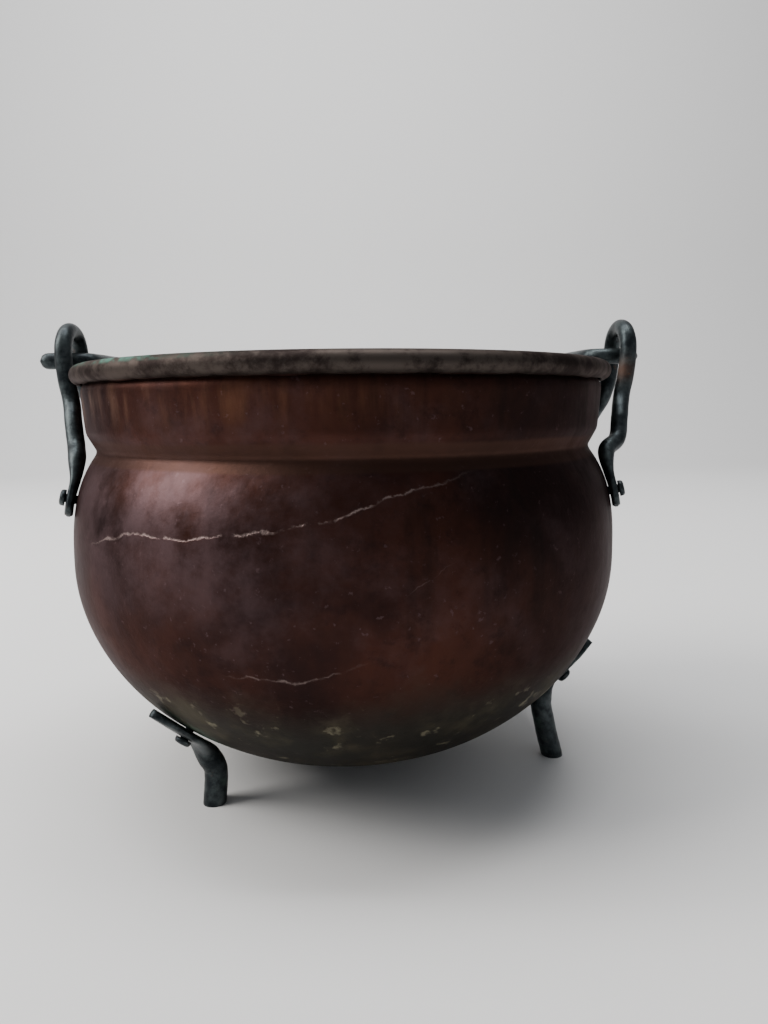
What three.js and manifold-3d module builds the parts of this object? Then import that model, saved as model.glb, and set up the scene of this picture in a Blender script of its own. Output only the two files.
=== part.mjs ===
import * as THREE from 'three';
import { mergeVertices } from 'three/addons/utils/BufferGeometryUtils.js';
import Module from 'manifold-3d';

const wasm = await Module();
wasm.setup();

// Copper bowl, in millimetres, origin on the floor under the middle of the pot
const bellyRadius = 104;
const bellyHeight = 85;
const bowlDepth = 82.4;
const shoulderRise = 64.5;
const shoulderPower = 2.84;
const creaseHeight = 124.9;
const neckFootRadius = 97.3;
const neckFootHeight = 131.5;
const neckTopRadius = 98.5;
const neckTopHeight = 146.5;
const copperWall = 1.2;

// Rolled rim over its iron wire
const rimCentreRadius = 98.5;
const rimCentreHeight = 152.2;
const wireRadius = 1.9;
const curlStart = 205;
const curlEnd = -92;

// Iron rod of the ears and the bail
const rodRadius = 3.2;
const eyeRadius = 9.7;
const eyeHeight = 160.7;
const leftStandOff = 105.8;
const rightStandOff = 110.8;
const leftLean = 2.3;
const rightLean = 2.65;
const earWaistSpread = 10.8;
const earWaistHeight = 143.4;
const earFlareSpread = 16.8;
const earFlareHeight = 135.5;
const earKneeSpread = 22;
const earKneeHeight = 127;
const earPadSpread = 33;
const earPadHeight = 108.4;
const earPadReach = 6;
const earPadHalfWidth = 5;
const padHalfThickness = 1.5;

// Bail handle
const bailArchRadius = 98.5;
const bailElbowRadius = 6;
const stubEnd = 118;

// Feet: radii on the bowl of each leaf's tip and bend, and of each sole on the floor
const leftTipRadius = 89;
const leftBendRadius = 66;
const leftSoleRadius = 68.6;
const rightTipRadius = 94;
const rightBendRadius = 74;
const rightSoleRadius = 83;
const backTipRadius = 90;
const backBendRadius = 71;
const backSoleRadius = 76;
const stemRadius = 4.2;
const leafHalfWidth = 5.6;
const leafLift = 1.4;
const feet = [
  { name: 'foot_front_left', azimuth: 224, tip: leftTipRadius, bend: leftBendRadius, sole: leftSoleRadius },
  { name: 'foot_right', azimuth: 347, tip: rightTipRadius, bend: rightBendRadius, sole: rightSoleRadius },
  { name: 'foot_back', azimuth: 105, tip: backTipRadius, bend: backBendRadius, sole: backSoleRadius },
];

// Rivets
const rivetShankRadius = 1.6;
const rivetHeadRadius = 3;
const rivetHeadHeight = 2;
const rivetTailHeight = 1.5;
const rivetTailGap = 0.5;

// Clearance kept between neighbours, and facet counts
const gap = 0.3;
const turns = 56;
const ringSides = 8;

const toRadians = THREE.MathUtils.degToRad;
const copper = { color: 0x5a2a20, roughness: 0.42, metalness: 0.9 };
const iron = { color: 0x2c3032, roughness: 0.5, metalness: 0.85 };

// Shapes
function closedBody(geometry) {
  geometry.deleteAttribute('normal');
  geometry.deleteAttribute('uv');
  const merged = mergeVertices(geometry, 1e-4);
  const index = merged.index.array;
  const kept = [];
  for (let i = 0; i < index.length; i += 3) {
    const [a, b, c] = [index[i], index[i + 1], index[i + 2]];
    if (a !== b && b !== c && c !== a) kept.push(a, b, c);
  }
  merged.setIndex(kept);
  return signedVolume(merged) < 0 ? flipped(merged) : merged;
}

function signedVolume(geometry) {
  const place = geometry.getAttribute('position');
  const index = geometry.index.array;
  const corner = [new THREE.Vector3(), new THREE.Vector3(), new THREE.Vector3()];
  let total = 0;
  for (let i = 0; i < index.length; i += 3) {
    corner.forEach((point, k) => point.fromBufferAttribute(place, index[i + k]));
    total += corner[0].dot(corner[1].clone().cross(corner[2])) / 6;
  }
  return total;
}

function flipped(geometry) {
  geometry.setIndex(Array.from(geometry.index.array).reverse());
  return geometry;
}

function toSolid(geometry) {
  return new wasm.Manifold(new wasm.Mesh({
    numProp: 3,
    vertProperties: new Float32Array(geometry.getAttribute('position').array),
    triVerts: new Uint32Array(geometry.index.array),
  }));
}

function toGeometry(solid) {
  const mesh = solid.getMesh();
  const geometry = new THREE.BufferGeometry();
  geometry.setAttribute('position', new THREE.BufferAttribute(mesh.vertProperties, 3));
  geometry.setIndex(new THREE.BufferAttribute(mesh.triVerts, 1));
  return geometry;
}

function cut(geometry, cutters) {
  return toGeometry(cutters.reduce((solid, cutter) => solid.subtract(toSolid(cutter)), toSolid(geometry)));
}

// A rod of changing section: each station has a centre, two unit directions and two half sizes
function loft(stations) {
  const points = [];
  for (const { centre, across, out, halfAcross, halfOut, power } of stations) {
    for (let k = 0; k < ringSides; k += 1) {
      const angle = (k + 0.5) * 2 * Math.PI / ringSides;
      const wide = Math.sign(Math.cos(angle)) * Math.abs(Math.cos(angle)) ** (2 / power);
      const deep = Math.sign(Math.sin(angle)) * Math.abs(Math.sin(angle)) ** (2 / power);
      points.push(centre.clone().addScaledVector(across, wide * halfAcross).addScaledVector(out, deep * halfOut));
    }
  }
  const index = [];
  for (let i = 0; i < stations.length - 1; i += 1) {
    for (let k = 0; k < ringSides; k += 1) {
      const a = i * ringSides + k;
      const b = i * ringSides + (k + 1) % ringSides;
      index.push(a, b, b + ringSides, a, b + ringSides, a + ringSides);
    }
  }
  const last = (stations.length - 1) * ringSides;
  for (let k = 1; k < ringSides - 1; k += 1) {
    index.push(0, k + 1, k);
    index.push(last, last + k, last + k + 1);
  }
  const geometry = new THREE.BufferGeometry().setFromPoints(points);
  geometry.setIndex(index);
  return closedBody(geometry);
}

// Stations along a curve; outAt gives the direction that the section's thickness faces
function stationsAlong(curve, count, outAt, sizeAt) {
  const stations = [];
  for (let i = 0; i <= count; i += 1) {
    const share = i / count;
    const centre = curve.getPointAt(share);
    const along = curve.getTangentAt(share);
    const across = new THREE.Vector3().crossVectors(along, outAt(centre)).normalize();
    const out = new THREE.Vector3().crossVectors(across, along).normalize();
    stations.push({ centre, across, out, ...sizeAt(centre, share) });
  }
  return stations;
}

function mix(a, b, share) {
  return a + (b - a) * THREE.MathUtils.smoothstep(share, 0, 1);
}

// Bowl outline: an ellipse below the belly, a fuller curve above it
function lowerPoint(angle) {
  return new THREE.Vector2(bellyRadius * Math.sin(angle), bellyHeight - bowlDepth * Math.cos(angle));
}

function upperPoint(height) {
  const share = ((height - bellyHeight) / shoulderRise) ** shoulderPower;
  return new THREE.Vector2(bellyRadius * (1 - share) ** (1 / shoulderPower), height);
}

function lowerNormal(angle) {
  return new THREE.Vector2(Math.sin(angle) / bellyRadius, -Math.cos(angle) / bowlDepth).normalize();
}

function upperNormal(height) {
  const step = 0.1;
  const run = upperPoint(height + step).sub(upperPoint(height - step));
  return new THREE.Vector2(run.y, -run.x).normalize();
}

// A point in space on a radius and height, at an azimuth in radians
function around(flat, azimuth) {
  return new THREE.Vector3(flat.x * Math.cos(azimuth), flat.x * Math.sin(azimuth), flat.y);
}

function onLowerBowl(radius, azimuth, offset) {
  const angle = Math.asin(radius / bellyRadius);
  return around(lowerPoint(angle).addScaledVector(lowerNormal(angle), offset), azimuth);
}

function onShoulder(height, azimuth, offset) {
  return around(upperPoint(height).addScaledVector(upperNormal(height), offset), azimuth);
}

function rimPoint(radius, degrees) {
  const angle = toRadians(degrees);
  return new THREE.Vector2(rimCentreRadius + radius * Math.cos(angle), rimCentreHeight + radius * Math.sin(angle));
}

// The same outline moved sideways by a distance, with mitred corners
function offsetOutline(points, distance) {
  const normalOf = (a, b) => new THREE.Vector2(a.y - b.y, b.x - a.x).normalize();
  return points.map((point, i) => {
    const before = i > 0 ? normalOf(points[i - 1], point) : new THREE.Vector2(0, 1);
    const after = i < points.length - 1 ? normalOf(point, points[i + 1]) : before;
    const middle = before.clone().add(after).normalize();
    return point.clone().addScaledVector(middle, distance / middle.dot(after));
  });
}

// Rivets sit on a point of the bowl, through a pad of known outer height
function rivetFrame(base, normal) {
  const turn = new THREE.Quaternion().setFromUnitVectors(new THREE.Vector3(0, 0, 1), normal);
  return new THREE.Matrix4().compose(base, turn, new THREE.Vector3(1, 1, 1));
}

function rivetGeometry(padTop) {
  const seat = padTop + gap;
  const tail = -copperWall - rivetTailGap;
  const profile = [
    [0, tail - rivetTailHeight],
    [rivetHeadRadius * 0.8, tail - rivetTailHeight],
    [rivetHeadRadius, tail - rivetTailHeight * 0.4],
    [rivetHeadRadius, tail],
    [rivetShankRadius, tail],
    [rivetShankRadius, seat],
    [rivetHeadRadius, seat],
    [rivetHeadRadius, seat + rivetHeadHeight * 0.6],
    [rivetHeadRadius * 0.75, seat + rivetHeadHeight],
    [0, seat + rivetHeadHeight],
  ].map(([radius, height]) => new THREE.Vector2(radius, height));
  return closedBody(new THREE.LatheGeometry(profile, 12).rotateX(Math.PI / 2));
}

function rivetHole(padTop) {
  const length = padTop + copperWall + 6;
  const hole = new THREE.CylinderGeometry(rivetShankRadius + gap, rivetShankRadius + gap, length, 12);
  return closedBody(hole.rotateX(Math.PI / 2).translate(0, 0, length / 2 - copperWall - 3));
}

const padTop = gap + 2 * padHalfThickness;
const rivets = [];

function addRivet(name, base, normal) {
  const frame = rivetFrame(base, normal);
  const geometry = rivetGeometry(padTop).applyMatrix4(frame);
  const hole = rivetHole(padTop).applyMatrix4(frame);
  const rivet = { name, geometry, hole };
  rivets.push(rivet);
  return rivet;
}

// Ears
function earGeometry({ side, name, standOff, lean }) {
  const padAzimuth = Math.asin(earPadSpread / upperPoint(earPadHeight).x);
  const leg = (way) => {
    const knee = standOff - 3 * lean;
    return [
      onShoulder(earPadHeight - earPadReach, way * padAzimuth * 1.04, gap + padHalfThickness),
      onShoulder(earPadHeight, way * padAzimuth, gap + padHalfThickness),
      onShoulder(earPadHeight + earPadReach, way * padAzimuth * 0.93, gap + padHalfThickness + 0.3),
      onShoulder(earPadHeight + 2 * earPadReach, way * padAzimuth * 0.83, gap + rodRadius + 1.2),
      new THREE.Vector3(knee, way * earKneeSpread, earKneeHeight),
      new THREE.Vector3(knee + lean, way * earFlareSpread, earFlareHeight),
      new THREE.Vector3(standOff - lean, way * earWaistSpread, earWaistHeight),
      new THREE.Vector3(standOff - lean / 4, way * eyeRadius, (eyeHeight + earWaistHeight) / 2),
    ];
  };
  const arch = [];
  for (let step = 0; step <= 4; step += 1) {
    const angle = Math.PI * step / 4;
    const spread = -eyeRadius * Math.cos(angle);
    arch.push(new THREE.Vector3(standOff, spread, eyeHeight + eyeRadius * Math.sin(angle)));
  }
  const route = [...leg(-1), ...arch, ...leg(1).reverse()];
  const curve = new THREE.CatmullRomCurve3(route, false, 'centripetal');
  const outward = (centre) => new THREE.Vector3(centre.x, centre.y, 0).normalize();
  const size = (centre, share) => {
    const rod = (centre.z - earPadHeight - earPadReach * 0.6) / (2 * earPadReach);
    const tip = Math.min(share, 1 - share) < 0.001 ? 0.72 : 1;
    return {
      halfAcross: mix(earPadHalfWidth, rodRadius, rod) * tip,
      halfOut: mix(padHalfThickness, rodRadius, rod) * tip,
      power: mix(4, 2, rod),
    };
  };
  const body = loft(stationsAlong(curve, 48, outward, size));
  const holes = [];
  for (const [way, end] of [[-1, 'front'], [1, 'back']]) {
    const azimuth = way * padAzimuth;
    const normal = around(upperNormal(earPadHeight), azimuth);
    const rivet = addRivet(`${name}_rivet_${end}`, onShoulder(earPadHeight, azimuth, 0), normal);
    holes.push(rivet.hole);
    if (side < 0) {
      rivet.geometry = mirrored(rivet.geometry);
      rivet.hole = mirrored(rivet.hole);
    }
  }
  const drilled = cut(body, holes);
  return side < 0 ? mirrored(drilled) : drilled;
}

function mirrored(geometry) {
  return flipped(geometry.clone().applyMatrix4(new THREE.Matrix4().makeScale(-1, 1, 1)));
}

// Feet: a leaf along the bowl, a bend, and a stem cut level on the floor
function footGeometry(foot) {
  const azimuth = toRadians(foot.azimuth);
  const leafOffset = gap + padHalfThickness;
  const rivetRadius = (foot.tip + foot.bend) / 2;
  const route = [
    onLowerBowl(foot.tip, azimuth, leafOffset + leafLift),
    onLowerBowl((foot.tip + rivetRadius) / 2, azimuth, leafOffset + 0.25),
    onLowerBowl(rivetRadius, azimuth, leafOffset),
    onLowerBowl((rivetRadius * 2 + foot.bend) / 3, azimuth, leafOffset + 0.3),
    onLowerBowl(foot.bend + 1, azimuth, gap + stemRadius + 1),
    around(new THREE.Vector2((foot.bend + 2 * foot.sole) / 3, stemRadius * 3), azimuth),
    around(new THREE.Vector2(foot.sole, 0), azimuth),
  ];
  const curve = new THREE.CatmullRomCurve3(route, false, 'centripetal');
  const sideways = new THREE.Vector3(-Math.sin(azimuth), Math.cos(azimuth), 0);
  const bendHeight = onLowerBowl(foot.bend, azimuth, gap + stemRadius).z;
  const rivetHeight = onLowerBowl(rivetRadius, azimuth, 0).z;
  const size = (centre, share) => {
    const stem = (rivetHeight - 3 - centre.z) / (rivetHeight - 3 - bendHeight);
    const tip = Math.min(1, 0.45 + share * 7);
    return {
      halfAcross: mix(padHalfThickness, stemRadius, stem),
      halfOut: mix(leafHalfWidth, stemRadius, stem) * tip,
      power: mix(3, 2, stem),
    };
  };
  const stations = stationsAlong(curve, 20, () => sideways, size);
  const sole = stations[stations.length - 1];
  sole.across = new THREE.Vector3(Math.cos(azimuth), Math.sin(azimuth), 0).multiplyScalar(
    Math.sign(sole.across.dot(new THREE.Vector3(Math.cos(azimuth), Math.sin(azimuth), 0))),
  );
  sole.out = sideways;
  const angle = Math.asin(rivetRadius / bellyRadius);
  const normal = around(lowerNormal(angle), azimuth);
  const rivet = addRivet(foot.name.replace('foot', 'foot_rivet'), onLowerBowl(rivetRadius, azimuth, 0), normal);
  return cut(loft(stations), [rivet.hole]);
}

// Bail: round stubs out through the eyes, an elbow inside each, and one arch laid back over the rim
function bailGeometry() {
  const height = rimCentreHeight + wireRadius + gap + copperWall + gap + rodRadius;
  const bend = bailElbowRadius * (1 - Math.SQRT1_2);
  const at = (x, y) => new THREE.Vector3(x, y, height);
  const arm = (side) => [
    at(side * stubEnd, 0),
    at(side * rightStandOff, 0),
    at(side * (bailArchRadius + bailElbowRadius), 0),
    at(side * (bailArchRadius + bend), bend),
    at(side * bailArchRadius, bailElbowRadius),
  ];
  const arch = [];
  for (let step = 1; step < 12; step += 1) {
    const angle = Math.PI * step / 12;
    const depth = bailElbowRadius + (bailArchRadius - bailElbowRadius) * Math.sin(angle);
    arch.push(at(-bailArchRadius * Math.cos(angle), depth));
  }
  const route = [...arm(-1), ...arch, ...arm(1).reverse()];
  const curve = new THREE.CatmullRomCurve3(route, false, 'centripetal');
  const upward = () => new THREE.Vector3(0, 0, 1);
  const size = (centre, share) => {
    const toEnd = Math.min(share, 1 - share) * curve.getLength();
    const round = toEnd < rodRadius ? Math.sqrt(1 - (1 - toEnd / rodRadius) ** 2) : 1;
    const radius = rodRadius * Math.max(round, 0.6);
    return { halfAcross: radius, halfOut: radius, power: 2 };
  };
  return loft(stationsAlong(curve, 72, upward, size));
}

// Copper shell: one sheet from the middle of the bottom up to the curl round the wire
function shellGeometry(holes) {
  const boreRadius = wireRadius + gap;
  const outer = [];
  for (let step = 0; step <= 10; step += 1) {
    outer.push(lowerPoint(Math.PI / 2 * step / 10));
  }
  for (let step = 1; step <= 6; step += 1) {
    outer.push(upperPoint(THREE.MathUtils.lerp(bellyHeight, creaseHeight, step / 6)));
  }
  outer.push(new THREE.Vector2(neckFootRadius, neckFootHeight));
  outer.push(new THREE.Vector2(neckTopRadius, neckTopHeight));
  outer.push(rimPoint(boreRadius, curlStart));
  const inner = offsetOutline(outer, copperWall);
  inner[0].x = 0;
  const curl = [];
  const steps = 6;
  for (let step = 1; step <= steps; step += 1) {
    curl.push(rimPoint(boreRadius, THREE.MathUtils.lerp(curlStart, curlEnd, step / steps)));
  }
  for (let step = steps; step >= 1; step -= 1) {
    curl.push(rimPoint(boreRadius + copperWall, THREE.MathUtils.lerp(curlStart, curlEnd, step / steps)));
  }
  const outline = [...outer, ...curl, ...inner.reverse()];
  return cut(closedBody(new THREE.LatheGeometry(outline, turns).rotateX(Math.PI / 2)), holes);
}

function wireGeometry() {
  const outline = [];
  for (let step = 0; step <= 8; step += 1) {
    outline.push(rimPoint(wireRadius, curlStart - 360 * step / 8));
  }
  return closedBody(new THREE.LatheGeometry(outline, turns).rotateX(Math.PI / 2));
}

// The assembly
const cauldron = new THREE.Group();

function add(name, geometry, look) {
  const mesh = new THREE.Mesh(geometry, new THREE.MeshStandardMaterial(look));
  mesh.name = name;
  cauldron.add(mesh);
}

const ears = [
  { side: -1, name: 'left_ear', standOff: leftStandOff, lean: leftLean },
  { side: 1, name: 'right_ear', standOff: rightStandOff, lean: rightLean },
].map((ear) => [ear.name, earGeometry(ear)]);
const legs = feet.map((foot) => [foot.name, footGeometry(foot)]);
add('copper_body', shellGeometry(rivets.map((rivet) => rivet.hole)), copper);
add('rim_wire', wireGeometry(), iron);
ears.forEach(([name, geometry]) => add(name, geometry, iron));
legs.forEach(([name, geometry]) => add(name, geometry, iron));
rivets.forEach(({ name, geometry }) => add(name, geometry, name.startsWith('foot') ? copper : iron));
add('bail_handle', bailGeometry(), iron);

export default cauldron;
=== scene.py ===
import bpy
import numpy as np
from mathutils import Matrix, Vector


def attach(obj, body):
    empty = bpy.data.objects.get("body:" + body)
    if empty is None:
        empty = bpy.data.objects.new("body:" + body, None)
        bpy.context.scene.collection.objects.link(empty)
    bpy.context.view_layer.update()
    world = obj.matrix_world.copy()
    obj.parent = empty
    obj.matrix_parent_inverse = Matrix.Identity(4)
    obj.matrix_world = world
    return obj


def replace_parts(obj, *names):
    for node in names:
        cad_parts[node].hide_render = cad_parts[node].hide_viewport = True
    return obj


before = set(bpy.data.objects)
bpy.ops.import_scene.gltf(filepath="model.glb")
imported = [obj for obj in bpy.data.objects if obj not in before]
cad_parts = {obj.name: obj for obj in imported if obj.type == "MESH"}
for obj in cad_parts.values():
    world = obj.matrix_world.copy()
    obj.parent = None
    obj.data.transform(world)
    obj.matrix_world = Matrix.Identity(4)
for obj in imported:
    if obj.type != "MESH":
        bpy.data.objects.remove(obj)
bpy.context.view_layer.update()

millimetre = 0.001
print("frame loaded")

# Sizes shared by several pieces, in millimetres, as the solids have them
shared = {"wall": 1.2, "gap": 0.3, "rod": 3.2, "padHalf": 1.5}


def closedTube(name, rings, startPole, endPole):
    # a skin over rings of points, row after row, closed by a fan to one point at each end
    rows, columns, _ = rings.shape
    corner = np.arange(rows * columns).reshape(rows, columns)
    ahead = np.roll(corner, -1, axis=1)
    quads = np.stack([corner[:-1], ahead[:-1], ahead[1:], corner[1:]], -1).reshape(-1, 4)
    first, last = rows * columns, rows * columns + 1
    startFan = np.stack([ahead[0], corner[0], np.full(columns, first)], -1)
    endFan = np.stack([corner[-1], ahead[-1], np.full(columns, last)], -1)
    points = np.vstack([rings.reshape(-1, 3), startPole, endPole])
    fans = np.vstack([startFan, endFan])
    triangles = np.vstack([quads[:, [0, 1, 2]], quads[:, [0, 2, 3]], fans])
    a, b, c = (points[triangles[:, k]] for k in range(3))
    if np.einsum("ij,ij->i", a, np.cross(b, c)).sum() < 0:    # signed volume: faces must point out
        quads, fans = quads[:, ::-1], fans[:, ::-1]
    mesh = bpy.data.meshes.new(name)
    mesh.from_pydata((points * millimetre).tolist(), [], quads.tolist() + fans.tolist())
    mesh.polygons.foreach_set("use_smooth", np.ones(len(mesh.polygons), bool))
    mesh.update()
    piece = bpy.data.objects.new(name, mesh)
    bpy.context.collection.objects.link(piece)
    return piece


def smoothRoute(stops, count):
    # centripetal Catmull-Rom curve through the stops, then taken at even steps of its length
    stops = np.asarray(stops, float)
    ends = np.vstack([2 * stops[0] - stops[1], stops, 2 * stops[-1] - stops[-2]])
    knots = np.concatenate([[0], np.cumsum(np.linalg.norm(np.diff(ends, axis=0), axis=1) ** 0.5)])
    fine = np.linspace(knots[1], knots[-2], 1500)
    cell = np.clip(np.searchsorted(knots, fine, side="right") - 1, 1, len(stops) - 1)
    t = fine[:, None]
    t0, t1, t2, t3 = (knots[cell + k][:, None] for k in (-1, 0, 1, 2))
    p0, p1, p2, p3 = (ends[cell + k] for k in (-1, 0, 1, 2))
    a1 = ((t1 - t) * p0 + (t - t0) * p1) / (t1 - t0)
    a2 = ((t2 - t) * p1 + (t - t1) * p2) / (t2 - t1)
    a3 = ((t3 - t) * p2 + (t - t2) * p3) / (t3 - t2)
    b1 = ((t2 - t) * a1 + (t - t0) * a2) / (t2 - t0)
    b2 = ((t3 - t) * a2 + (t - t1) * a3) / (t3 - t1)
    curve = ((t2 - t) * b1 + (t - t1) * b2) / (t2 - t1)
    length = np.concatenate([[0], np.cumsum(np.linalg.norm(np.diff(curve, axis=0), axis=1))])
    even = np.linspace(0, length[-1], count)
    return np.stack([np.interp(even, length, curve[:, k]) for k in range(3)], -1), even


def unit(vectors):
    return vectors / np.linalg.norm(vectors, axis=-1, keepdims=True)


def forgedRod(name, centres, outward, halfAcross, halfOut, power, sides=28, level=None, handMade=0.012):
    # rings of a superellipse |a|^p + |b|^p = 1 carried along the route, with slow swells of the hammer
    along = unit(np.gradient(centres, axis=0))
    if level is not None:
        along[-1] = level
    across = unit(np.cross(along, outward))
    out = np.cross(across, along)
    angle = (np.arange(sides) + 0.5) * 2 * np.pi / sides
    step = np.arange(len(centres))[:, None]
    swell = 1 - handMade * (1 + np.sin(step * 0.37 + 2 * angle) * np.cos(step * 0.21 - angle))
    wide = np.sign(np.cos(angle)) * np.abs(np.cos(angle)) ** (2 / power[:, None])
    deep = np.sign(np.sin(angle)) * np.abs(np.sin(angle)) ** (2 / power[:, None])
    rings = (centres[:, None] + across[:, None] * (wide * halfAcross[:, None] * swell)[..., None]
             + out[:, None] * (deep * halfOut[:, None] * swell)[..., None])
    if level is not None:
        rings[..., 2] = np.maximum(rings[..., 2], 0)    # sawn off level with the floor
    return closedTube(name, rings, centres[0], centres[-1])


def ease(start, end, share):
    share = np.clip(share, 0, 1)
    return start + (end - start) * share * share * (3 - 2 * share)


# Copper bowl
bowl = {"radius": 104, "bellyHeight": 85, "depth": 82.4, "shoulderRise": 64.5, "shoulderPower": 2.84,
        "creaseHeight": 124.9, "neckFootRadius": 97.3, "neckFootHeight": 131.5, "neckTopRadius": 98.5,
        "neckTopHeight": 146.5, "turns": 288}
rim = {"centreRadius": 98.5, "centreHeight": 152.2, "wire": 1.9, "curlStart": 205, "curlEnd": -92}


def upperRadius(height):
    share = ((height - bowl["bellyHeight"]) / bowl["shoulderRise"]) ** bowl["shoulderPower"]
    return bowl["radius"] * (1 - share) ** (1 / bowl["shoulderPower"])


def lowerBowl(radius, azimuth, offset):
    # a point of the ellipse below the belly, moved out along its normal
    angle = np.arcsin(radius / bowl["radius"])
    normal = unit(np.array([np.sin(angle) / bowl["radius"], -np.cos(angle) / bowl["depth"]]))
    flat = np.array([radius, bowl["bellyHeight"] - bowl["depth"] * np.cos(angle)]) + normal * offset
    return around(flat, azimuth), around(normal, azimuth)


def shoulder(height, azimuth, offset):
    # a point of the curve above the belly, moved out along its normal
    slope = (upperRadius(height + 0.1) - upperRadius(height - 0.1)) / 0.2
    normal = unit(np.array([1.0, -slope]))
    flat = np.array([upperRadius(height), height]) + normal * offset
    return around(flat, azimuth), around(normal, azimuth)


def around(flat, azimuth):
    return np.array([flat[0] * np.cos(azimuth), flat[0] * np.sin(azimuth), flat[1]])


def rimArc(radius, start, end, count):
    angle = np.radians(np.linspace(start, end, count))
    return np.stack([rim["centreRadius"] + radius * np.cos(angle),
                     rim["centreHeight"] + radius * np.sin(angle)], -1)


def makeBowl():
    # the outline of the sheet turned round Z: ellipse, shoulder, crease, neck and curl, then back inside
    rows = {"bottom": 60, "shoulder": 34, "chamfer": 10, "neck": 16, "joggle": 7,
            "curlIn": 26, "curlOut": 34}
    poleAngle = 0.02
    bottom = np.linspace(poleAngle, np.pi / 2, rows["bottom"])
    lower = np.stack([bowl["radius"] * np.sin(bottom),
                      bowl["bellyHeight"] - bowl["depth"] * np.cos(bottom)], -1)
    heights = np.linspace(bowl["bellyHeight"], bowl["creaseHeight"], rows["shoulder"])[1:]
    upper = np.stack([upperRadius(heights), heights], -1)
    chamfer = np.linspace(upper[-1], [bowl["neckFootRadius"], bowl["neckFootHeight"]],
                          rows["chamfer"])[1:]
    neck = np.linspace(chamfer[-1], [bowl["neckTopRadius"], bowl["neckTopHeight"]], rows["neck"])[1:]
    bore = rim["wire"] + shared["gap"]
    joggle = np.linspace(neck[-1], rimArc(bore, rim["curlStart"], 0, 2)[0], rows["joggle"])[1:]
    outer = np.vstack([lower, upper, chamfer, neck, joggle])
    # the crease and the neck's corner are hammered a little round
    soft = outer.copy()
    first = rows["bottom"] + rows["shoulder"] - 4
    for _ in range(2):
        soft[first:-6] = (outer[first - 1:-7] + 2 * outer[first:-6] + outer[first + 1:-5]) / 4
        outer = soft.copy()
    run = unit(np.gradient(outer, axis=0))
    inner = outer + np.stack([-run[:, 1], run[:, 0]], -1) * shared["wall"]
    curlIn = rimArc(bore, rim["curlStart"], rim["curlEnd"], rows["curlIn"])[1:]
    curlOut = rimArc(bore + shared["wall"], rim["curlEnd"], rim["curlStart"], rows["curlOut"])[:-2]
    lipRound = 0.25
    lip = (curlIn[-1] + curlOut[0]) / 2 - [lipRound, 0]
    outline = np.vstack([outer, curlIn, lip, curlOut, inner[::-1]])
    turn = np.arange(bowl["turns"]) * 2 * np.pi / bowl["turns"]
    radius = np.repeat(outline[:, :1], len(turn), axis=1)
    height = np.repeat(outline[:, 1:], len(turn), axis=1)
    # slow hand-raised waves, nil on the bottom: lobes round the pot, twist up it and depth
    wave = 0
    for lobes, twist, depth in ((3, 0.05, 0.10), (7, -0.09, 0.07), (11, 0.13, 0.05)):
        wave = wave + np.sin(lobes * turn + height * twist) * depth
    drawnIn, calmRadius = 0.12, 40
    radius = radius - drawnIn - wave * (radius > calmRadius)
    # the sheet's edge under the rim wanders
    edgeRow, edgeSpread = len(outer) + len(curlIn), 4.0
    edge = np.exp(-((np.arange(len(outline)) - edgeRow) / edgeSpread) ** 2)[:, None]
    longWander, shortWander = 0.28, 0.16
    height = height + edge * (longWander * np.sin(17 * turn) * np.sin(5 * turn + 1)
                              + shortWander * np.sin(41 * turn))
    rings = np.stack([radius * np.cos(turn), radius * np.sin(turn), height], -1)
    low = [0, 0, bowl["bellyHeight"] - bowl["depth"]]
    piece = closedTube("copper_shell", rings, low, [0, 0, low[2] + shared["wall"]])
    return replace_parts(piece, "copper_body")


# Iron ears: an eye and two legs, flattened where they are riveted
ear = {"eyeRadius": 9.7, "eyeHeight": 160.7, "standOff": {"left_ear": 105.8, "right_ear": 110.8},
       "lean": {"left_ear": 2.3, "right_ear": 2.65}, "waistSpread": 10.8, "waistHeight": 143.4,
       "flareSpread": 16.8, "flareHeight": 135.5, "kneeSpread": 22, "kneeHeight": 127,
       "padSpread": 33, "padHeight": 108.4, "padReach": 6, "padHalfWidth": 5}


def padAzimuth(way):
    return way * np.arcsin(ear["padSpread"] / upperRadius(ear["padHeight"]))


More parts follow.
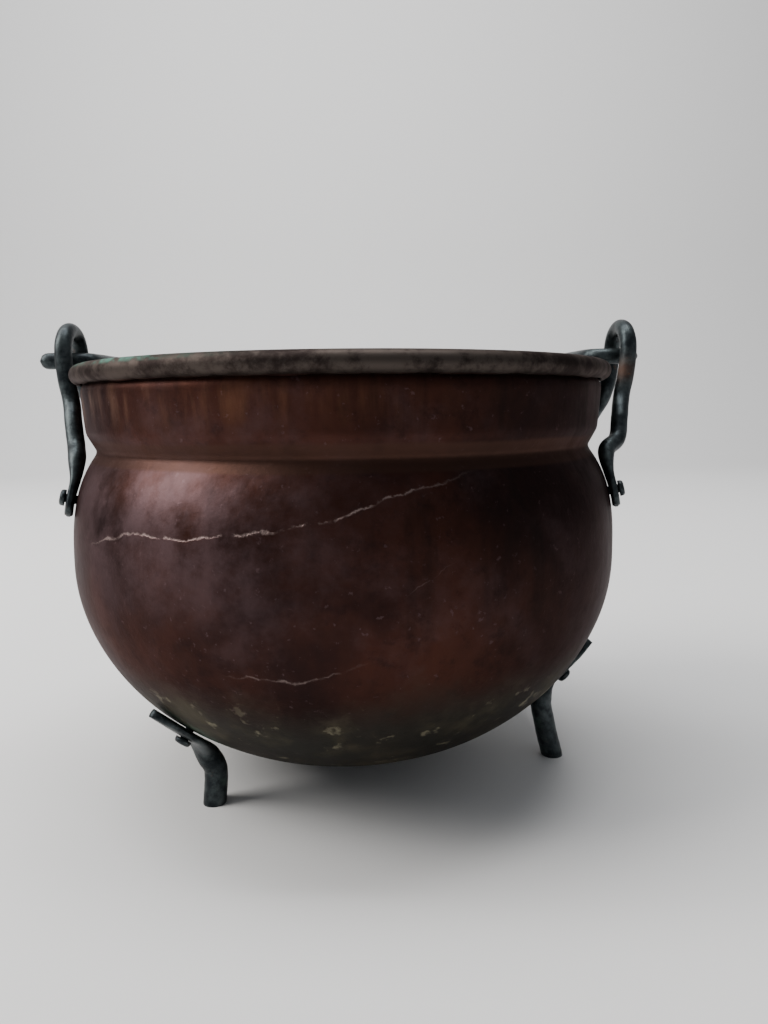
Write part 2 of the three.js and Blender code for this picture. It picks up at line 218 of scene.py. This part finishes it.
def makeEar(name, side):
    flush = shared["gap"] + shared["padHalf"]
    node = name.replace("_forged", "")
    standOff, lean = ear["standOff"][node], ear["lean"][node]

    def leg(way):
        knee = standOff - 3 * lean
        turn, high, reach = padAzimuth(way), ear["padHeight"], ear["padReach"]
        return [shoulder(high - reach, turn * 1.04, flush)[0],
                shoulder(high, turn, flush)[0],
                shoulder(high + reach, turn * 0.93, flush + 0.3)[0],
                shoulder(high + 2 * reach, turn * 0.83, shared["gap"] + shared["rod"] + 1.2)[0],
                [knee, way * ear["kneeSpread"], ear["kneeHeight"]],
                [knee + lean, way * ear["flareSpread"], ear["flareHeight"]],
                [standOff - lean, way * ear["waistSpread"], ear["waistHeight"]],
                [standOff - lean / 4, way * ear["eyeRadius"],
                 (ear["eyeHeight"] + ear["waistHeight"]) / 2]]
    bend = np.linspace(0, np.pi, 9)
    arch = np.stack([np.full(9, standOff), -ear["eyeRadius"] * np.cos(bend),
                     ear["eyeHeight"] + ear["eyeRadius"] * np.sin(bend)], -1)
    centres, length = smoothRoute(np.vstack([leg(-1), arch, leg(1)[::-1]]), 240)
    outward = unit(centres * [1, 1, 0])
    rod = (centres[:, 2] - ear["padHeight"] - ear["padReach"] * 0.6) / (2 * ear["padReach"])
    toEnd = np.minimum(length, length[-1] - length)
    tip = np.sqrt(1 - (1 - np.clip(toEnd / 3.5, 0.02, 1)) ** 2)
    halfOut = ease(shared["padHalf"], shared["rod"], rod) * np.clip(tip * 1.6, 0, 1)
    piece = forgedRod(name, centres * [side, 1, 1], outward * [side, 1, 1],
                      ease(ear["padHalfWidth"], shared["rod"], rod) * tip, halfOut, ease(3.4, 2, rod))
    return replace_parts(piece, node)


# Iron bail: stubs out through the eyes, elbows, and an arch laid back on the rim
bail = {"archRadius": 98.5, "elbow": 6, "stubEnd": 118}


def makeBail():
    height = rim["centreHeight"] + rim["wire"] + 2 * shared["gap"] + shared["wall"] + shared["rod"]
    bend = bail["elbow"] * (1 - np.sqrt(0.5))
    arm = np.array([[bail["stubEnd"], 0], [ear["standOff"]["right_ear"], 0],
                    [bail["archRadius"] + bail["elbow"], 0], [bail["archRadius"] + bend, bend],
                    [bail["archRadius"], bail["elbow"]]])
    turn = np.pi * np.arange(1, 12) / 12
    arch = np.stack([-bail["archRadius"] * np.cos(turn),
                     bail["elbow"] + (bail["archRadius"] - bail["elbow"]) * np.sin(turn)], -1)
    flat = np.vstack([arm * [-1, 1], arch, arm[::-1]])
    centres, length = smoothRoute(np.column_stack([flat, np.full(len(flat), height)]), 320)
    toEnd = np.minimum(length, length[-1] - length)
    tip = np.sqrt(1 - (1 - np.clip(toEnd / shared["rod"], 0.02, 1)) ** 2)
    radius = shared["rod"] * tip
    upward = np.tile([0.0, 0.0, 1.0], (len(centres), 1))
    piece = forgedRod("bail_forged", centres, upward, radius, radius, np.full(len(centres), 2.0))
    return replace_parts(piece, "bail_handle")


# Iron feet: a leaf along the bowl, a bend, a stem with a level sole
foot = {"stem": 4.2, "leafHalfWidth": 5.6, "leafLift": 1.4,
        "each": {"foot_front_left": (224, 89, 66, 68.6), "foot_right": (347, 94, 74, 83),
                 "foot_back": (105, 90, 71, 76)}}


def footRivetRadius(name):
    _, tipRadius, bendRadius, _ = foot["each"][name]
    return (tipRadius + bendRadius) / 2


def makeFoot(name):
    degrees, tipRadius, bendRadius, sole = foot["each"][name]
    turn, flush, rivetAt = np.radians(degrees), shared["gap"] + shared["padHalf"], footRivetRadius(name)
    stops = [lowerBowl(tipRadius, turn, flush + foot["leafLift"])[0],
             lowerBowl((tipRadius + rivetAt) / 2, turn, flush + 0.25)[0],
             lowerBowl(rivetAt, turn, flush)[0],
             lowerBowl((2 * rivetAt + bendRadius) / 3, turn, flush + 0.3)[0],
             lowerBowl(bendRadius + 1, turn, shared["gap"] + foot["stem"] + 1)[0],
             around(np.array([(bendRadius + 2 * sole) / 3, 3 * foot["stem"]]), turn),
             around(np.array([sole, 0.0]), turn)]
    centres, length = smoothRoute(stops, 150)
    sideways = np.tile([-np.sin(turn), np.cos(turn), 0], (len(centres), 1))
    bendHeight = lowerBowl(bendRadius, turn, shared["gap"] + foot["stem"])[0][2]
    rivetHeight = lowerBowl(rivetAt, turn, 0)[0][2]
    stem = (rivetHeight - 3 - centres[:, 2]) / (rivetHeight - 3 - bendHeight)
    leaf = np.sqrt(np.clip(length / 7, 0.01, 1))    # the leaf comes to a rounded point
    piece = forgedRod(name + "_forged", centres, sideways, ease(shared["padHalf"], foot["stem"], stem),
                      ease(foot["leafHalfWidth"], foot["stem"], stem) * leaf, ease(2.8, 2, stem),
                      level=[0, 0, -1.0])
    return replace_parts(piece, name)


# Rivets: a hammered head outside, a shank, and a closed head inside the bowl
rivet = {"shank": 1.6, "head": 3.0, "headHeight": 2.0, "tail": 1.5, "tailGap": 0.5}


def makeRivet(name, base, normal):
    # a radius and height outline turned round the bowl's normal
    seat = 2 * shared["gap"] + 2 * shared["padHalf"]
    tail = -shared["wall"] - rivet["tailGap"]
    head, high = rivet["head"], rivet["headHeight"]
    outline = np.array([[head * 0.45, tail - rivet["tail"]], [head * 0.8, tail - rivet["tail"] * 0.86],
                        [head * 0.97, tail - rivet["tail"] * 0.5], [head, tail], [rivet["shank"], tail],
                        [rivet["shank"], seat], [head, seat], [head, seat + high * 0.45],
                        [head * 0.93, seat + high * 0.75], [head * 0.75, seat + high * 0.93],
                        [head * 0.4, seat + high]])
    turn = np.arange(32) * 2 * np.pi / 32
    sideA = unit(np.cross(normal, [0.0, 0.0, 1.0]))
    sideB = np.cross(normal, sideA)
    spread = outline[:, :1] * (1 - 0.03 * (1 + np.sin(3 * turn + 1)))
    rings = (base + outline[:, 1][:, None, None] * normal
             + (spread * np.cos(turn))[..., None] * sideA + (spread * np.sin(turn))[..., None] * sideB)
    piece = closedTube(name + "_head", rings, base + outline[0, 1] * normal, base + outline[-1, 1] * normal)
    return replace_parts(piece, name)


# Shader sums written as Python expressions
class Amount:
    def __init__(self, sheet, socket):
        self.sheet, self.socket = sheet, socket

    def math(self, operation, *others, swap=False):
        values = [*others, self] if swap else [self, *others]
        return self.sheet.node("ShaderNodeMath", {"operation": operation}, *values)

    def __add__(self, other): return self.math("ADD", other)
    def __radd__(self, other): return self.math("ADD", other)
    def __mul__(self, other): return self.math("MULTIPLY", other)
    def __rmul__(self, other): return self.math("MULTIPLY", other)
    def __sub__(self, other): return self.math("SUBTRACT", other)
    def __rsub__(self, other): return self.math("SUBTRACT", other, swap=True)
    def __truediv__(self, other): return self.math("DIVIDE", other)
    def bell(self, width): return (self / width * (self / width) * -1.0).math("EXPONENT")


class Sheet:
    def __init__(self, name):
        self.material = bpy.data.materials.new(name)
        self.material.use_nodes = True
        self.tree = self.material.node_tree
        self.shader = self.tree.nodes["Principled BSDF"]
        self.place = self.node("ShaderNodeTexCoord", {}, output="Object")
        axes = self.tree.nodes.new("ShaderNodeSeparateXYZ")
        self.tree.links.new(self.place.socket, axes.inputs[0])
        self.x, self.y, self.z = (Amount(self, axes.outputs[k]) for k in range(3))

    def set(self, socket, value):
        if isinstance(value, Amount):
            self.tree.links.new(value.socket, socket)
        else:
            socket.default_value = value

    def node(self, kind, settings, *inputs, output=0, **named):
        made = self.tree.nodes.new(kind)
        stops = settings.pop("stops", None)
        for key, value in settings.items():
            setattr(made, key, value)
        if stops:
            ramp = made.color_ramp
            while len(ramp.elements) < len(stops):
                ramp.elements.new(1)
            for element, (position, colour) in zip(ramp.elements, stops):
                element.position, element.color = position, colour
        for socket, value in zip(made.inputs, inputs):
            self.set(socket, value)
        for key, value in named.items():
            self.set(made.inputs[key.replace("_", " ")], value)
        return Amount(self, made.outputs[output])

    def noise(self, scale, detail=4.0, roughness=0.55, distortion=0.0):
        return self.node("ShaderNodeTexNoise", {}, Vector=self.place, Scale=scale, Detail=detail,
                         Roughness=roughness, Distortion=distortion, output="Fac")

    def streaks(self, sideways, upright):
        # noise drawn out up and down the pot
        place = self.node("ShaderNodeCombineXYZ", {}, self.x * sideways, self.y * sideways, self.z * upright)
        return self.node("ShaderNodeTexNoise", {}, Vector=place, Scale=1.0, Detail=4.0, Roughness=0.6,
                         output="Fac")

    def step(self, value, low, high):
        # 0 below low, 1 above high, a smooth rise between
        return self.node("ShaderNodeMapRange", {"interpolation_type": "SMOOTHSTEP"},
                         value, low, high, 0.0, 1.0)

    def tint(self, share, first, second):
        made = self.tree.nodes.new("ShaderNodeMix")
        made.data_type = "RGBA"
        for socket, value in zip((made.inputs[0], made.inputs[6], made.inputs[7]), (share, first, second)):
            self.set(socket, value)
        return Amount(self, made.outputs[2])

    def line(self, position, stops, low, high):
        # a height that follows stops of (position, height) in millimetres, read from a grey ramp
        share = self.node("ShaderNodeMapRange", {}, position, low * millimetre, high * millimetre, 0.0, 1.0)
        grey = [((at - low) / (high - low), (up / 200, up / 200, up / 200, 1)) for at, up in stops]
        return self.node("ShaderNodeValToRGB", {"stops": grey}, share) * 0.2

    def finish(self, colour, roughness, metallic, height, strength, distance):
        for name, value in (("Base Color", colour), ("Roughness", roughness), ("Metallic", metallic)):
            self.set(self.shader.inputs[name], value)
        bump = self.node("ShaderNodeBump", {}, Strength=strength, Distance=distance, Height=height)
        self.set(self.shader.inputs["Normal"], bump)
        return self.material


# Colours are linear red, green, blue
patina = {"dark": (0.014, 0.0066, 0.0062, 1), "red": (0.047, 0.0165, 0.0110, 1),
          "mauve": (0.105, 0.066, 0.070, 1), "sootAndShade": (0.008, 0.0065, 0.006, 1),
          "olive": (0.050, 0.045, 0.026, 1), "crust": (0.012, 0.014, 0.010, 1),
          "lime": (0.27, 0.24, 0.15, 1), "rim": (0.066, 0.054, 0.047, 1),
          "rimDark": (0.020, 0.0155, 0.014, 1), "verdigris": (0.10, 0.25, 0.19, 1),
          "rust": (0.13, 0.050, 0.020, 1), "pale": (0.34, 0.26, 0.24, 1), "inside": (0.050, 0.025, 0.018, 1),
          "edgeTint": (0.55, 0.50, 0.50, 1)}
forged = {"deep": (0.013, 0.017, 0.020, 1), "worn": (0.056, 0.068, 0.070, 1),
          "rubbed": (0.13, 0.14, 0.145, 1), "rust": (0.13, 0.050, 0.020, 1), "green": (0.09, 0.15, 0.12, 1)}
# Where the marks on the copper and the iron lie, in metres
marks = {"windowSheen": (-0.055, 0.108), "crustTop": 0.060, "neckRust": 0.142, "rimFoot": (0.1484, 0.1492),
         "neckInside": (0.0965, 0.116), "rimGreen": (-0.068, 0.1535), "bailGreen": (0.095, 0.155),
         "eyeRust": (0.1085, -0.010, 0.153)}
# Scratches as (x, height) in millimetres; the widths that follow them are in metres
scratches = {"upper": ((-86, 96), (-67, 103), (-49, 103), (-28, 105.4), (-2, 109.5), (12, 115), (40, 121)),
             "lower": ((-38, 63), (-28, 63), (-16, 61.8), (-8, 64.6), (10, 70)),
             "thin": ((13, 85.5), (22, 91), (35, 99))}


def copperPatina():
    s = Sheet("aged_copper")
    broad, mottle = s.noise(14, 5, 0.6, 0.4), s.noise(46, 6, 0.65)
    grain, fine = s.noise(170, 5, 0.7), s.noise(700, 2)
    colour = s.tint(s.step(broad, 0.36, 0.68), patina["dark"], patina["red"])
    colour = s.tint(s.step(mottle, 0.47, 0.74) * 0.22, colour, patina["mauve"])
    colour = s.tint(s.step(grain, 0.50, 0.72) * 0.55, colour, patina["dark"])
    specks = s.step(s.noise(430, 3, 0.6), 0.64, 0.72)
    colour = s.tint(specks * 0.40, colour, patina["mauve"])
    # painted reflection: a pale grey patch of window light on the upper left of the belly, broken up by the
    # mottle
    windowSheenX, windowSheenZ = marks["windowSheen"]
    windowSheen = (s.x - windowSheenX).bell(0.050) * (s.z - windowSheenZ).bell(0.024) * s.step(s.y * -1.0, 0.0, 0.03)
    colour = s.tint(windowSheen * s.step(mottle, 0.32, 0.62) * 0.75, colour, patina["mauve"])
    # painted shade: the side away from the window is darkened, in patches, with the soot colour
    colour = s.tint(s.step(s.x, 0.01, 0.10) * s.step(broad, 0.25, 0.55) * 0.55, colour, patina["sootAndShade"])
    # dark runs down the sides, strongest under the crease and towards the right
    runs = s.step(s.streaks(95, 9), 0.50, 0.70) * s.step(s.z, 0.045, 0.11) * s.step(s.x, -0.10, 0.08)
    colour = s.tint(runs * 0.60, colour, patina["sootAndShade"])
    # green-black crust towards the bottom, with olive patches and pale limescale spots
    low = s.step(marks["crustTop"] - s.z + (broad - 0.5) * 0.04 + (mottle - 0.5) * 0.02, 0.0, 0.022)
    ground = s.tint(s.step(mottle, 0.44, 0.70), patina["crust"], patina["olive"])
    colour = s.tint(low * 0.85, colour, ground)
    spots = s.step(s.noise(110, 4, 0.6), 0.60, 0.69) * low
    colour = s.tint(spots * 0.38, colour, patina["lime"])
    # rust-brown runs on the neck and a grey-brown rolled rim
    band = (s.z - marks["neckRust"]).bell(0.006) * s.step(s.streaks(130, 25), 0.42, 0.66)
    band = band * s.step(s.x * -1.0, -0.05, 0.04)
    colour = s.tint(band * 0.42, colour, patina["rust"])
    onRim = s.step(s.z, *marks["rimFoot"])
    rimColour = s.tint(s.step(grain * 0.6 + mottle * 0.4, 0.42, 0.58), patina["rim"], patina["rimDark"])
    colour = s.tint(onRim * 0.92, colour, rimColour)
    # soot and lime inside
    radius = (s.x * s.x + s.y * s.y).math("SQRT")
    insideRadius, insideFoot = marks["neckInside"]
    neckInside = s.step(insideRadius - radius, 0.0, 0.0008) * s.step(s.z, insideFoot, insideFoot + 0.002)
    colour = s.tint(neckInside * 0.7, colour, patina["inside"])
    # verdigris on the rim at the left, by the right end of the bail and round the foot leaves
    rimX, rimZ = marks["rimGreen"]
    bailX, bailZ = marks["bailGreen"]
    green = ((s.x - rimX).bell(0.020) * s.step(s.z, rimZ, rimZ + 0.0015) * s.step(s.y * -1.0, 0.0, 0.02)
             + (s.x - bailX).bell(0.008) * (s.z - bailZ).bell(0.003) * s.step(s.y, -0.03, 0.0))
    for name, (degrees, *_) in foot["each"].items():
        spot = lowerBowl(footRivetRadius(name), np.radians(degrees), 0)[0] * millimetre
        away = (s.x - spot[0]).bell(0.011) * (s.y - spot[1]).bell(0.011) * (s.z - spot[2]).bell(0.011)
        green = green + away * 0.6
    green = s.node("ShaderNodeClamp", {}, green * s.step(grain, 0.42, 0.6) * 1.2)
    colour = s.tint(green * 0.6, colour, patina["verdigris"])
    # thin scratches across the front, broken up and fading
    front = s.step(s.y * -1.0, 0.01, 0.03)
    broken = s.step(s.noise(75, 5, 0.75), 0.34, 0.52) * s.step(grain, 0.32, 0.52)
    scored = None
    for key, width, depth in (("upper", 0.00030, 1.0), ("lower", 0.00026, 0.6), ("thin", 0.00018, 0.5)):
        stops = scratches[key]
        start, end = stops[0][0], stops[-1][0]
        level = s.line(s.x, stops, start, end) + (mottle - 0.5) * 0.006 + (grain - 0.5) * 0.003
        first, last = start * millimetre, end * millimetre
        reach = s.step(s.x, first, first + 0.010) * s.step(last - s.x, 0.0, 0.030)
        mark = (s.z - level).bell(width) * reach * front * broken * depth
        scored = mark if scored is None else scored + mark
    scored = s.node("ShaderNodeClamp", {}, scored)
    colour = s.tint(scored * 0.58, colour, patina["pale"])
    roughness = 0.29 + mottle * 0.20 + grain * 0.14 + low * 0.14 + onRim * 0.12 + green * 0.25 + runs * 0.08
    metallic = 0.88 - green * 0.6 - low * 0.35 - spots * 0.3 - band * 0.3
    height = (broad * 0.5 + mottle * 0.32 + grain * 0.15 + fine * 0.06 - scored * 0.3 + green * 0.2
              + spots * 0.15)
    s.set(s.shader.inputs["Specular Tint"], patina["edgeTint"])
    return s.finish(colour, roughness, metallic, height, 0.42, 0.0012)


def forgedIron(name, rustShare):
    s = Sheet(name)
    broad, mottle, grain = s.noise(60, 4), s.noise(210, 5, 0.65), s.noise(620, 4, 0.7)
    colour = s.tint(s.step(mottle, 0.35, 0.68), forged["deep"], forged["worn"])
    rubbed = s.step(broad, 0.55, 0.72)
    colour = s.tint(rubbed * 0.5, colour, forged["rubbed"])
    rust = s.step(s.noise(120, 5, 0.7), 0.62 - rustShare, 0.74 - rustShare)
    # one orange patch low on the right eye
    spotX, spotY, spotZ = marks["eyeRust"]
    rust = rust + (s.x - spotX).bell(0.004) * (s.y - spotY).bell(0.004) * (s.z - spotZ).bell(0.004)
    rust = s.node("ShaderNodeClamp", {}, rust)
    colour = s.tint(rust * 0.55, colour, forged["rust"])
    green = s.step(s.noise(90, 3), 0.60, 0.75) * s.step(0.045 - s.z, 0.0, 0.02)
    colour = s.tint(green * 0.5, colour, forged["green"])
    roughness = 0.34 + mottle * 0.18 + rust * 0.28 - rubbed * 0.08 + green * 0.15
    height = mottle * 0.6 + grain * 0.2 + broad * 0.4
    return s.finish(colour, roughness, 0.85 - rust * 0.5 - green * 0.4, height, 0.5, 0.0007)


def wear(piece, material, body):
    piece.data.materials.clear()
    piece.data.materials.append(material)
    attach(piece, body)


copperFinish = copperPatina()
ironFinish = forgedIron("forged_iron", 0.0)
rivetFinish = forgedIron("rivet_metal", 0.03)
wear(makeBowl(), copperFinish, "pot")
print("bowl made")
for name, side in (("left_ear", -1), ("right_ear", 1)):
    wear(makeEar(name + "_forged", side), ironFinish, "pot")
    for end, way in (("front", -1), ("back", 1)):
        base, normal = shoulder(ear["padHeight"], padAzimuth(way), 0)
        flip = np.array([side, 1, 1])
        wear(makeRivet(f"{name}_rivet_{end}", base * flip, normal * flip), rivetFinish, "pot")
wear(makeBail(), ironFinish, "bail")
for name, (degrees, *_) in foot["each"].items():
    wear(makeFoot(name), ironFinish, "pot")
    base, normal = lowerBowl(footRivetRadius(name), np.radians(degrees), 0)
    wear(makeRivet(name.replace("foot", "foot_rivet"), base, normal), rivetFinish, "pot")
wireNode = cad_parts["rim_wire"]
wireNode.data.materials.clear()
wireNode.data.materials.append(rivetFinish)
print("iron work made")

# Pale floor that sweeps up behind the pot
stage = {"floor": (0.74, 0.73, 0.72, 1), "half": 4.0, "back": 1.4, "bendRadius": 0.6}


def makeFloor():
    # a straight floor, a quarter circle and an upright back, drawn out sideways
    turn = np.linspace(0, np.pi / 2, 24)
    y = np.concatenate([[-stage["half"]], stage["back"] + stage["bendRadius"] * np.sin(turn),
                        [stage["back"] + stage["bendRadius"]]])
    z = np.concatenate([[0], stage["bendRadius"] * (1 - np.cos(turn)), [stage["half"]]])
    x = np.array([-stage["half"], stage["half"]])
    points = np.stack([np.repeat(x, len(y)), np.tile(y, 2), np.tile(z, 2)], -1)
    low = np.arange(len(y) - 1)
    faces = np.stack([low, low + len(y), low + len(y) + 1, low + 1], -1)
    mesh = bpy.data.meshes.new("studio_floor")
    mesh.from_pydata(points.tolist(), [], faces.tolist())
    mesh.polygons.foreach_set("use_smooth", np.ones(len(faces), bool))
    floor = bpy.data.objects.new("studio_floor", mesh)
    bpy.context.collection.objects.link(floor)
    s = Sheet("studio_paper")
    s.set(s.shader.inputs["Base Color"], stage["floor"])
    s.set(s.shader.inputs["Roughness"], 0.85)
    mesh.materials.append(s.material)


makeFloor()


def softLight(name, place, aim, width, height, power, colour):
    lamp = bpy.data.lights.new(name, "AREA")
    lamp.shape, lamp.size, lamp.size_y, lamp.energy, lamp.color = "RECTANGLE", width, height, power, colour
    light = bpy.data.objects.new(name, lamp)
    light.location = place
    light.rotation_euler = (Vector(aim) - Vector(place)).to_track_quat("-Z", "Y").to_euler()
    bpy.context.collection.objects.link(light)


softLight("window", (-1.15, -0.15, 1.0), (0, 0, 0.10), 0.8, 1.0, 26, (1.0, 0.98, 0.95))
softLight("wallLight", (-0.2, 0.2, 1.9), (0, 1.7, 0.3), 1.8, 0.8, 55, (0.98, 0.99, 1.0))
world = bpy.data.worlds.new("studio_air")
world.use_nodes = True
world.node_tree.nodes["Background"].inputs["Color"].default_value = (0.80, 0.84, 0.90, 1)
world.node_tree.nodes["Background"].inputs["Strength"].default_value = 0.34
bpy.context.scene.world = world

# Camera at the photograph's viewpoint: distances in belly radii, turns in degrees
shot = {"distance": 2.986, "height": 1.34, "down": 7.67, "aside": 2.766, "roll": -0.699,
        "focusPixels": 769, "tallPixels": 1024, "sensor": 36}


def makeCamera():
    down, aside, roll = (np.radians(shot[key]) for key in ("down", "aside", "roll"))
    ahead = np.array([np.sin(aside) * np.cos(down), np.cos(aside) * np.cos(down), -np.sin(down)])
    right = np.array([np.cos(aside), -np.sin(aside), 0])
    up = np.cross(right, ahead)
    turnedRight = right * np.cos(roll) + up * np.sin(roll)
    turnedUp = up * np.cos(roll) - right * np.sin(roll)
    camera = bpy.data.objects.new("camera", bpy.data.cameras.new("camera"))
    camera.data.sensor_width = shot["sensor"]
    camera.data.lens = shot["sensor"] * shot["focusPixels"] / shot["tallPixels"]
    camera.data.clip_start = 0.01
    reach = bowl["radius"] * millimetre
    place = Vector((0, -shot["distance"] * reach, shot["height"] * reach))
    axes = Matrix(np.column_stack([turnedRight, turnedUp, -ahead]).tolist()).to_4x4()
    camera.matrix_world = Matrix.Translation(place) @ axes
    bpy.context.collection.objects.link(camera)
    bpy.context.scene.camera = camera


makeCamera()
print("stage and camera made")
